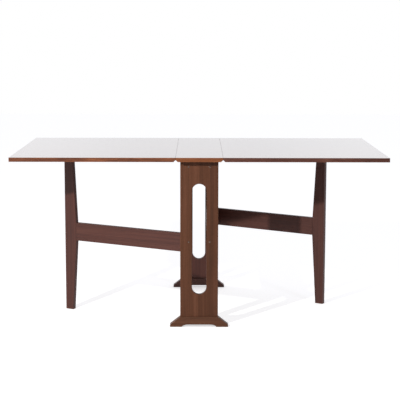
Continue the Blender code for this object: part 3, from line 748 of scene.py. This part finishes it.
for seed, (name, board) in enumerate(tops.items(), TOP_SEED):
    for finish in top_finishes(name, seed):
        board.data.materials.append(finish)
    low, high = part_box(name)
    for face in board.data.polygons:
        from_side = min(face.center.y - low.y, high.y - face.center.y)
        from_end = min(face.center.x - low.x, high.x - face.center.x)
        if face.normal.z > ON_TOP:
            face.material_index = 0
        elif face.normal.z < STRAIGHT_DOWN and min(from_side, from_end) > LIPPING:
            face.material_index = 3
        else:
            face.material_index = 1 if from_side < from_end else 2
    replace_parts(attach(board, "frame" if name == "centre_top" else name), name)
print("tops finished")

# %% [markdown]
# ## Where the screws are
#
# The CAD model has plain screws in the right places, and the panels need to know where their heads
# come through. A screw is longest along its axis, which a singular value decomposition of its
# corners finds, and it is thickest at its head.

# %% Line of a screw
def screw_line(name):
    """Where a CAD screw's head ends, and the way out of the wood there."""
    points = np.array([v.co for v in nodes[name].data.vertices])
    middle = points.mean(0)
    axis = np.linalg.svd(points - middle)[2][0]
    along = (points - middle) @ axis
    thick = np.linalg.norm(points - middle - np.outer(along, axis), axis=1)
    out = axis if along[thick.argmax()] > 0 else -axis
    return Vector(middle + out * ((points - middle) @ out).max()), Vector(out)


head = screw_line("front_left_top_rail_screw")[0]
print("a screw of the front panel ends at", [round(x, 3) for x in head])

# %% [markdown]
# ## The panels
#
# Each end of the frame is a panel with a long slot, which is a hand-hold and lets the light
# through. It is glued up from two boards, and the joint runs down its middle. The slot's cutter is
# a cylinder with its upper half moved up, so its ends stay round. Small flat recesses take the
# heads of the four screws that hold the rails. All arrises are rounded but those of the recesses
# and those at the ends, which stand tight on the foot and under the top.

# %% Shape of the panels
SLOT_WIDTH, SLOT_LOW, SLOT_HIGH = 62 * MM, 141.5 * MM, 619.5 * MM
SLOT_SIDES, RECESS_SIDES = 96, 32
PANEL_ARRIS = 1.5 * MM
RECESS_RADIUS, RECESS_DEPTH = 4.3 * MM, 0.9 * MM
HAIR = 0.01 * MM


def cylinder(sides, radius, depth, middle):
    """A cylinder through a panel, from front to back, as the only selected object."""
    bpy.ops.object.select_all(action="DESELECT")
    bpy.ops.mesh.primitive_cylinder_add(vertices=sides, radius=radius, depth=depth,
                                        location=middle, rotation=(math.pi / 2, 0, 0))
    return bpy.context.object


def slot_cutter(middle, deep):
    """A cutter for the slot of a panel, from the panel's middle in Y and its thickness."""
    radius = SLOT_WIDTH / 2
    cutter = cylinder(SLOT_SIDES, radius, 2 * deep, (0, middle, SLOT_LOW + radius))
    bpy.ops.object.transform_apply(location=True, rotation=True, scale=True)
    bpy.ops.object.mode_set(mode="EDIT")
    pick("VERT", lambda v: v.co.z > SLOT_LOW + radius - HAIR)
    bpy.ops.transform.translate(value=(0, 0, SLOT_HIGH - SLOT_LOW - 2 * radius))
    bpy.ops.object.mode_set(mode="OBJECT")
    return cutter


def panel(name, foot, screws):
    """A frame panel down to its foot, slotted and recessed for its screws."""
    low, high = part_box(name)
    low.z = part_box(foot)[1].z
    board = block("slotted_" + name, low, high)
    cut(board, slot_cutter((low.y + high.y) / 2, high.y - low.y))
    heads = [screw_line(s)[0] for s in screws]
    outer = low.y if abs(heads[0].y - low.y) < abs(heads[0].y - high.y) else high.y
    for head in heads:
        cut(board, cylinder(RECESS_SIDES, RECESS_RADIUS, 2 * RECESS_DEPTH,
                            (head.x, outer, head.z)))
    board.select_set(True)
    bpy.ops.object.mode_set(mode="EDIT")
    pick("EDGE", lambda e: e.calc_face_angle(0) > SHARP
         and low.z + MM < halfway(e).z < high.z - MM
         and all((halfway(e) - h).length > 2 * RECESS_RADIUS for h in heads))
    bpy.ops.transform.edge_bevelweight(value=1.0)
    bpy.ops.object.mode_set(mode="OBJECT")
    rounded(board, PANEL_ARRIS, "WEIGHT")
    print(board.name, len(board.data.polygons), "faces")
    return board


print("slots are", SLOT_WIDTH / MM, "mm wide")

# %% [markdown]
# ## Panels in their places
#
# The front panel has the brown of the frame, and the rear one the redder brown of the gates. The
# grain runs up the panel, and the strips are its two boards, each half as wide as the panel.

# %% Panels in their places
PANEL_SEEDS = {"front": 40, "rear": 29}

for end, seed in PANEL_SEEDS.items():
    name = end + "_panel"
    screws = [f"{end}_{side}_{rail}_screw" for side in ("left", "right")
              for rail in ("top_rail", "stretcher")]
    board = panel(name, end + "_foot", screws)
    tones, finish = (GATE_TONES, GATE_FINISH) if end == "rear" else (FRAME_TONES, FRAME_FINISH)
    half_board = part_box(name)[1].x
    board.data.materials.append(
        stained_mahogany(name, board_axes(name, Z, Y), Z, tones, seed, *finish,
                         strips=(half_board, 0.0)))
    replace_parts(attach(board, "frame"), name)
print(len(PANEL_SEEDS), "panels finished")

# %% [markdown]
# ## Hinge brass and plated steel
#
# The hinges of the leaves are pressed brass that has dulled with age: brown tarnish in patches,
# with fine rolling lines along the sheet. The hinges of the gates and all screws are steel with a
# thin plating that has gone dark grey. Both are metals, so their colour is in what they mirror,
# and noise in their roughness is what makes them look used.

# %% Metals
PATCH_TURN = (0.35, 0.68)        # levels of the noise between which bright metal goes dull
PATCH_DETAIL, LINE_DETAIL = 4.0, 2.0
LINE_STRETCH = 0.05              # scale of the lines along Y, as a share of that across them
METAL_RELIEF, METAL_DEPTH = 0.3, 0.05 * MM


def aged_metal(name, bright, dull, patch, lines, smooth, matt):
    """Metal with duller patches and fine lines along it: a broken, satin shine. patch and lines
    are their sizes, smooth and matt the roughness of the bright and of the dull metal."""
    material, tree = empty_material(name)
    place = add(tree, "TexCoord")
    spots = add(tree, "TexNoise", {"Vector": (place, "Object"), "Scale": 1 / patch,
                                   "Detail": PATCH_DETAIL})
    spots = add(tree, "MapRange", {"Value": (spots, 0), "From Min": PATCH_TURN[0],
                                   "From Max": PATCH_TURN[1]})
    colour = add(tree, "Mix", {FACTOR: (spots, 0), COLOUR_A: linear(bright),
                               COLOUR_B: linear(dull)}, data_type="RGBA")
    lie = add(tree, "Mapping", {"Vector": (place, "Object"),
                                "Scale": (1 / lines, LINE_STRETCH / lines, 1 / lines)})
    fine = add(tree, "TexNoise", {"Vector": (lie, 0), "Scale": 1.0, "Detail": LINE_DETAIL})
    rough = add(tree, "MapRange", {"Value": (spots, 0), "To Min": smooth, "To Max": matt})
    relief = add(tree, "Bump", {"Height": (fine, 0), "Strength": METAL_RELIEF,
                                "Distance": METAL_DEPTH})
    surface = add(tree, "BsdfPrincipled", {
        "Base Color": (colour, MIXED_COLOUR), "Metallic": 1.0, "Roughness": (rough, 0),
        "Normal": (relief, 0)})
    add(tree, "OutputMaterial", {"Surface": (surface, 0)})
    return material


brass = aged_metal("brass_rolled_and_dulled", "#B8924F", "#6E5330",
                   patch=14 * MM, lines=0.5 * MM, smooth=0.30, matt=0.52)
steel = aged_metal("steel_plated_and_darkened", "#7F6C61", "#4E4039",
                   patch=5 * MM, lines=0.4 * MM, smooth=0.34, matt=0.58)
hinges = [n for n in nodes if "hinge" in n]
for name in hinges:
    nodes[name].data.materials.clear()
    nodes[name].data.materials.append(brass if "leaf_hinge" in name else steel)
print(len(hinges), "pieces of hinges in brass and steel")

# %% [markdown]
# ## Screws with slots
#
# All screws are countersunk wood screws with a straight slot. One is modelled for each size: a
# short cylinder whose lower face is drawn in to the shank, drawn out to the length and pointed, a
# slightly eased rim, and a thin block cut out for the slot.

# %% Screw models
SCREW_SIDES = 40
SCREW_SHARP = math.radians(35)
RIM, RIM_STEPS = 0.12 * MM, 2
FLAT = 0.9                       # an end face's normal along the screw
POINT_LENGTH, POINT_WIDTH = 2, 0.15    # in radii of the shank
SLOT_HALF, SLOT_DEPTH = 0.13, 0.32     # half the slot's width in head radii, its depth in tapers


def screw_model(name, head, taper, shank, length):
    """A slotted countersunk screw with its head's face at the origin and its point below. head and
    shank are radii."""
    bpy.ops.object.select_all(action="DESELECT")
    bpy.ops.mesh.primitive_cylinder_add(vertices=SCREW_SIDES, radius=head, depth=taper,
                                        location=(0, 0, -taper / 2))
    screw = bpy.context.object
    screw.name = name
    point = POINT_LENGTH * shank
    bpy.ops.object.transform_apply(location=True, rotation=True, scale=True)
    bpy.ops.object.mode_set(mode="EDIT")
    pick("FACE", lambda f: f.normal.z > FLAT)
    bpy.ops.mesh.bevel(offset=RIM, segments=RIM_STEPS, affect="EDGES")
    pick("FACE", lambda f: f.normal.z < -FLAT)
    bpy.ops.transform.resize(value=(shank / head, shank / head, 1))
    for drop in (taper - length + point, -point):
        bpy.ops.mesh.extrude_region_move(TRANSFORM_OT_translate={"value": (0, 0, drop)})
    bpy.ops.transform.resize(value=(POINT_WIDTH, POINT_WIDTH, 1))
    bpy.ops.object.mode_set(mode="OBJECT")
    wide, deep = SLOT_HALF * head, SLOT_DEPTH * taper
    cut(screw, block("slot", Vector((-2 * head, -wide, -deep)), Vector((2 * head, wide, deep))))
    bpy.ops.object.select_all(action="DESELECT")
    screw.select_set(True)
    bpy.ops.object.shade_smooth_by_angle(angle=SCREW_SHARP)
    screw.data.materials.append(steel)
    print(name, len(screw.data.polygons), "faces")
    return screw


MODELS = {
    "panel": screw_model("panel_screw", head=4.0 * MM, taper=2.6 * MM, shank=2.2 * MM,
                         length=55 * MM),
    "top": screw_model("top_screw", head=4.2 * MM, taper=2.6 * MM, shank=2.0 * MM,
                       length=33 * MM),
    "hinge": screw_model("hinge_screw", head=3.0 * MM, taper=1.2 * MM, shank=1.4 * MM,
                         length=12 * MM)}

# %% [markdown]
# ## Driving the screws
#
# A screw goes where its CAD node is, with its head a hair under the wood in the panels and just
# under the flaps of the gate hinges, which fold flat on each other when a gate is home. Each is a
# copy of its model, turned so that no two slots in a row point the same way, as a screwdriver
# leaves them.

# %% Screws in place of the CAD ones
TWIST = math.radians(37)
SUNK = {"panel": 0.25 * MM, "top": 0.0, "hinge": 0.05 * MM}
driven = []


def drive(model, name, head, out, body):
    """A copy of the model with its head at a place, facing out, on a body."""
    screw = model.copy()
    screw.data = model.data.copy()
    screw.name = name
    bpy.context.scene.collection.objects.link(screw)
    screw.matrix_world = (Matrix.Translation(head)
                          @ Z.rotation_difference(out).to_matrix().to_4x4()
                          @ Matrix.Rotation(TWIST * len(driven), 4, "Z"))
    bpy.ops.object.select_all(action="DESELECT")
    screw.select_set(True)
    bpy.context.view_layer.objects.active = screw
    bpy.ops.object.transform_apply(location=True, rotation=True, scale=True)
    driven.append(screw)
    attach(screw, body)
    return screw


for name in [n for n in nodes if "screw" in n]:
    in_panel = name.startswith(("front", "rear"))
    kind = "hinge" if "hinge" in name else "panel" if in_panel else "top"
    model = MODELS[kind]
    head, out = screw_line(name)
    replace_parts(drive(model, "slotted_" + name, head - SUNK[kind] * out, out,
                      nodes[name]["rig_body"]), name)
print(len(driven), "screws driven")

# %% [markdown]
# ## Screws of the leaf hinges
#
# The leaf hinges have no CAD screws, so theirs are set on the flaps: two through each flap, from
# below, near its free edge. On the centre board that edge looks to the middle of the table, and on
# a leaf away from it.

# %% Screws of the leaf hinges
FLAP_SCREW_APART, FLAP_SCREW_IN = 44 * MM, 11 * MM

for name in [n for n in nodes if n.endswith(("board_flap", "leaf_flap"))]:
    low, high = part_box(name)
    free_edge_low = name.startswith("right") == name.endswith("board_flap")
    x = low.x + FLAP_SCREW_IN if free_edge_low else high.x - FLAP_SCREW_IN
    for step, word in ((-0.5, "near"), (0.5, "far")):
        place = Vector((x, (low.y + high.y) / 2 + step * FLAP_SCREW_APART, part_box(name)[0].z))
        drive(MODELS["hinge"], f"{name}_screw_{word}", place, -Z, nodes[name]["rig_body"])
for model in MODELS.values():
    bpy.data.objects.remove(model)
print(len(driven), "screws driven in all")
